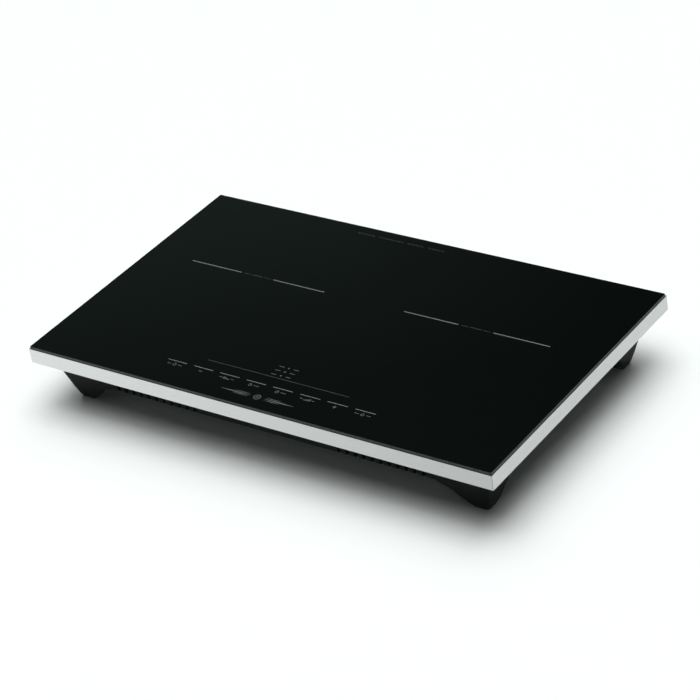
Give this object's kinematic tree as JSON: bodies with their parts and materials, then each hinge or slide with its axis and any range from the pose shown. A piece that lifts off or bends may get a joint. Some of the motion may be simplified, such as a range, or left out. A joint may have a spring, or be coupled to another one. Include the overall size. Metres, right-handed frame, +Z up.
{
  "type": "induction cooktop",
  "caption": "Portable induction cooktop: flat black glass with printed touch fields on a mitred aluminium frame, over a vented plastic tray on moulded corner feet.",
  "frame": {"origin": "on the surface that the cooktop stands on, under the middle of its frame", "axes": "+X along the long side, to the user's right; +Y away from the user, towards the back; +Z up"},
  "size_m": [0.6, 0.358, 0.076],
  "materials": {
    "black_glass": "polished, opaque black",
    "brushed_aluminium": "satin brushed along the rail",
    "black_plastic": "fine moulded texture",
    "black_rubber": "matt",
    "silicone": "matt",
    "zinc_steel": "zinc plated",
    "plain_aluminium": "mill finish",
    "circuit_board": "green solder mask",
    "copper_winding": "enamelled copper wire",
    "nylon": "natural nylon",
    "ferrite": "sintered, matt",
    "mica": "layered mica sheet",
    "component_plastic": "black moulded",
    "wire_sleeve": "insulated wire",
    "printed_ink": "grey ceramic ink on the glass"
  },
  "bodies": {
    "housing": {"glass_plate": "black_glass", "glass_seal": "silicone", "frame_rail_front": "brushed_aluminium", "frame_rail_back": "brushed_aluminium", "frame_rail_left": "brushed_aluminium", "frame_rail_right": "brushed_aluminium", "corner_key_front_left": "zinc_steel", "corner_key_front_right": "zinc_steel", "corner_key_back_left": "zinc_steel", "corner_key_back_right": "zinc_steel", "tray_screw_1": "zinc_steel", "tray_screw_2": "zinc_steel", "tray_screw_3": "zinc_steel", "tray_screw_4": "zinc_steel", "tray_screw_5": "zinc_steel", "tray_screw_6": "zinc_steel", "base_tray": "black_plastic", "foot_pad_front_left": "black_rubber", "foot_pad_front_right": "black_rubber", "foot_pad_back_left": "black_rubber", "foot_pad_back_right": "black_rubber", "cord_gland": "black_rubber", "left_mica_sheet": "mica", "left_coil": "copper_winding", "left_coil_former": "nylon", "left_ferrite_1": "ferrite", "left_ferrite_2": "ferrite", "left_ferrite_3": "ferrite", "left_ferrite_4": "ferrite", "left_shield_plate": "plain_aluminium", "left_temperature_sensor": "component_plastic", "left_fan_frame": "component_plastic", "left_power_transistor": "component_plastic", "left_capacitor": "component_plastic", "left_coil_lead": "wire_sleeve", "right_mica_sheet": "mica", "right_coil": "copper_winding", "right_coil_former": "nylon", "right_ferrite_1": "ferrite", "right_ferrite_2": "ferrite", "right_ferrite_3": "ferrite", "right_ferrite_4": "ferrite", "right_shield_plate": "plain_aluminium", "right_temperature_sensor": "component_plastic", "right_fan_frame": "component_plastic", "right_power_transistor": "component_plastic", "right_capacitor": "component_plastic", "right_coil_lead": "wire_sleeve", "power_board": "circuit_board", "control_board": "circuit_board", "heatsink": "plain_aluminium", "filter_choke": "copper_winding", "terminal_block": "nylon", "control_carrier": "nylon", "supply_lead": "wire_sleeve", "ribbon_cable": "wire_sleeve", "touch_strip": "silicone", "display_module": "component_plastic"},
    "left_fan": {"left_fan_rotor": "component_plastic"},
    "right_fan": {"right_fan_rotor": "component_plastic"}
  },
  "joints": [
    {"name": "left_fan_spin", "type": "hinge", "parent": "housing", "child": "left_fan", "pos_m": [-0.145, 0.045, 0.0372], "axis": [0, 0, 1], "continuous": true},
    {"name": "right_fan_spin", "type": "hinge", "parent": "housing", "child": "right_fan", "pos_m": [0.145, 0.045, 0.0372], "axis": [0, 0, 1], "continuous": true}
  ]
}
